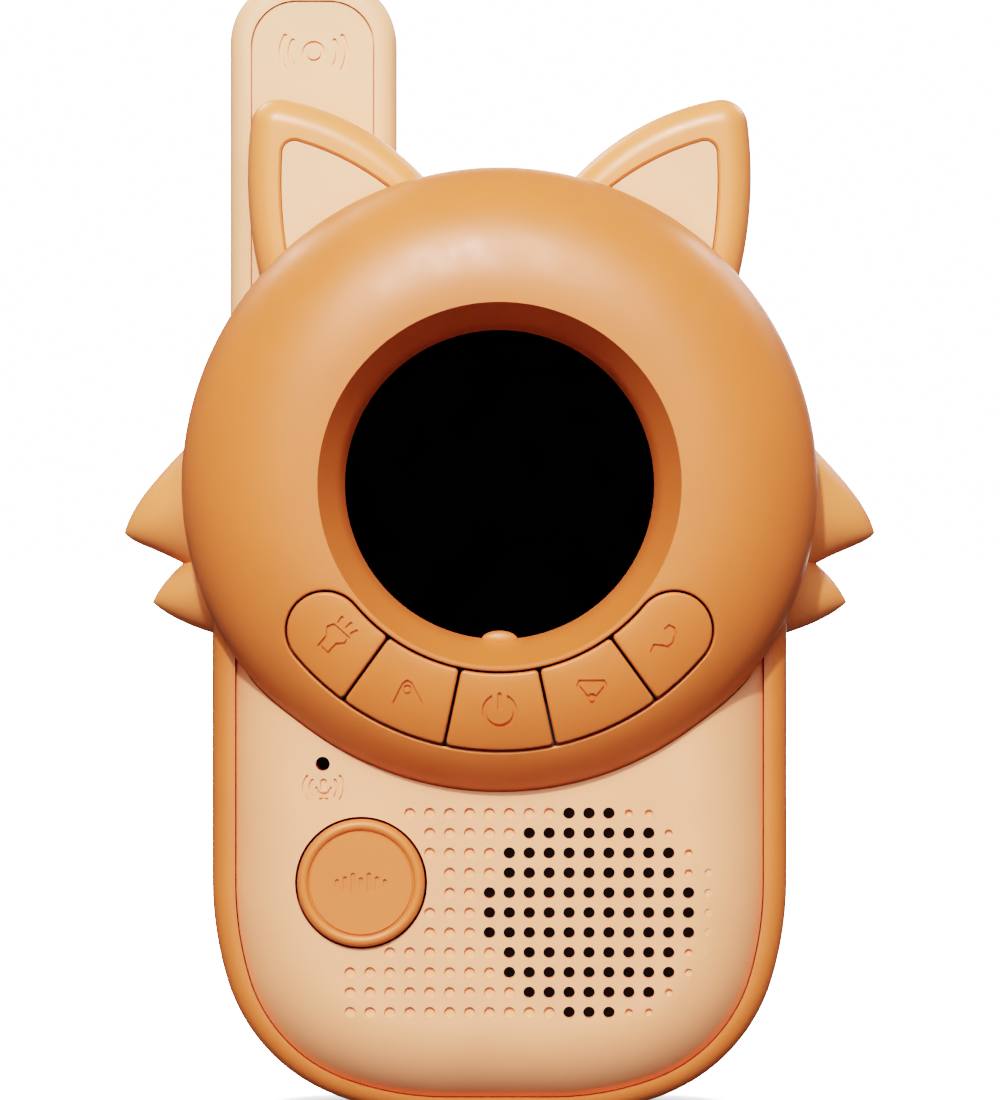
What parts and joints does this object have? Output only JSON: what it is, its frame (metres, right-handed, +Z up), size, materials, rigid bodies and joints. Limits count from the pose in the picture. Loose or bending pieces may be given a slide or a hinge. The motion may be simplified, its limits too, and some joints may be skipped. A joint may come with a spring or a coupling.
{
  "type": "toy walkie talkie",
  "caption": "Toy handheld radio with a round animal-like head, dark round screen, arc of keys, talk button, perforated speaker panel, ears, cheek tufts and stub antenna.",
  "frame": {"origin": "centre of the body's flat bottom edge in X, with Z = 0 at that face and Y = 0 at 8.2 mm behind the body's front border", "axes": "+Z up along the toy, the front faces -Y, +X is to the right seen from the front"},
  "size_m": [0.0834, 0.0434, 0.1265],
  "materials": {
    "orange_shell": "satin moulded plastic",
    "peach_panel": "satin moulded plastic",
    "ear_shell": "satin moulded plastic",
    "pale_inlay": "satin moulded plastic",
    "antenna_shell": "satin moulded plastic",
    "tuft": "satin moulded plastic",
    "key_plastic": "satin moulded plastic",
    "black_lens": "glossy black acrylic",
    "black_plastic": "moulded black plastic",
    "board_green": "solder mask",
    "silicone": "dark silicone",
    "black_rubber": "foam or rubber",
    "steel": "zinc plated",
    "copper": "copper wire",
    "white_plastic": "moulded plastic",
    "clear_plastic": "clear acrylic",
    "cell_jacket": "printed jacket, plain",
    "amber_flex": "polyimide film"
  },
  "bodies": {
    "body": {"front_frame": "orange_shell", "rear_shell": "orange_shell", "head_shell": "orange_shell", "front_panel": "peach_panel", "right_ear": "ear_shell", "left_ear": "ear_shell", "right_ear_inlay": "pale_inlay", "left_ear_inlay": "pale_inlay", "right_cheek_tuft": "tuft", "left_cheek_tuft": "tuft", "antenna_shell": "antenna_shell", "antenna_inlay": "antenna_shell", "antenna_coil": "copper", "keypad_board": "board_green", "keypad_membrane": "silicone", "key_switches": "black_plastic", "screen_lens": "black_lens", "lens_gasket": "black_rubber", "display_module": "black_plastic", "display_frame": "black_plastic", "display_ribbon": "amber_flex", "talk_board": "board_green", "talk_switch": "black_plastic", "talk_spring": "steel", "microphone": "black_plastic", "mic_boot": "black_rubber", "speaker_gasket": "black_rubber", "speaker_frame": "steel", "speaker_cone": "black_plastic", "speaker_magnet": "steel", "grille_cloth": "black_rubber", "main_board": "board_green", "radio_shield": "steel", "board_chips": "black_plastic", "torch_lens": "clear_plastic", "torch_led": "white_plastic", "battery_cells": "cell_jacket", "battery_springs": "steel", "battery_contacts": "steel", "case_screws": "steel", "head_screws": "steel", "carrier_screws": "steel", "clip_pin": "steel", "clip_spring": "steel"},
    "lamp_button": {"lamp_button": "key_plastic"},
    "up_button": {"up_button": "key_plastic"},
    "power_button": {"power_button": "key_plastic"},
    "down_button": {"down_button": "key_plastic"},
    "call_button": {"call_button": "key_plastic"},
    "talk_button": {"talk_button": "key_plastic"},
    "battery_door": {"battery_door": "orange_shell", "door_screw": "steel"},
    "belt_clip": {"belt_clip": "orange_shell"}
  },
  "joints": [
    {"name": "lamp_key_press", "type": "slide", "parent": "body", "child": "lamp_button", "axis": [0, 1, 0], "range_m": [0, 0.0008], "stiffness_N_per_m": 900, "springref_m": -0.0004},
    {"name": "up_key_press", "type": "slide", "parent": "body", "child": "up_button", "axis": [0, 1, 0], "range_m": [0, 0.0008], "stiffness_N_per_m": 900, "springref_m": -0.0004},
    {"name": "power_key_press", "type": "slide", "parent": "body", "child": "power_button", "axis": [0, 1, 0], "range_m": [0, 0.0008], "stiffness_N_per_m": 900, "springref_m": -0.0004, "deforming": ["keypad_membrane"]},
    {"name": "down_key_press", "type": "slide", "parent": "body", "child": "down_button", "axis": [0, 1, 0], "range_m": [0, 0.0008], "stiffness_N_per_m": 900, "springref_m": -0.0004},
    {"name": "call_key_press", "type": "slide", "parent": "body", "child": "call_button", "axis": [0, 1, 0], "range_m": [0, 0.0008], "stiffness_N_per_m": 900, "springref_m": -0.0004},
    {"name": "talk_press", "type": "slide", "parent": "body", "child": "talk_button", "axis": [0, 1, 0], "range_m": [0, 0.0012], "stiffness_N_per_m": 900, "springref_m": -0.0006, "deforming": ["talk_spring"]},
    {"name": "clip_hinge", "type": "hinge", "parent": "body", "child": "belt_clip", "pos_m": [0, 0.0188, 0.0926], "axis": [1, 0, 0], "range_deg": [0, 18], "stiffness_Nm_per_rad": 0.12, "springref_deg": -8.59},
    {"name": "door_lift_off", "type": "slide", "parent": "body", "child": "battery_door", "axis": [0, 1, 0], "range_m": [0, 0.02]}
  ]
}
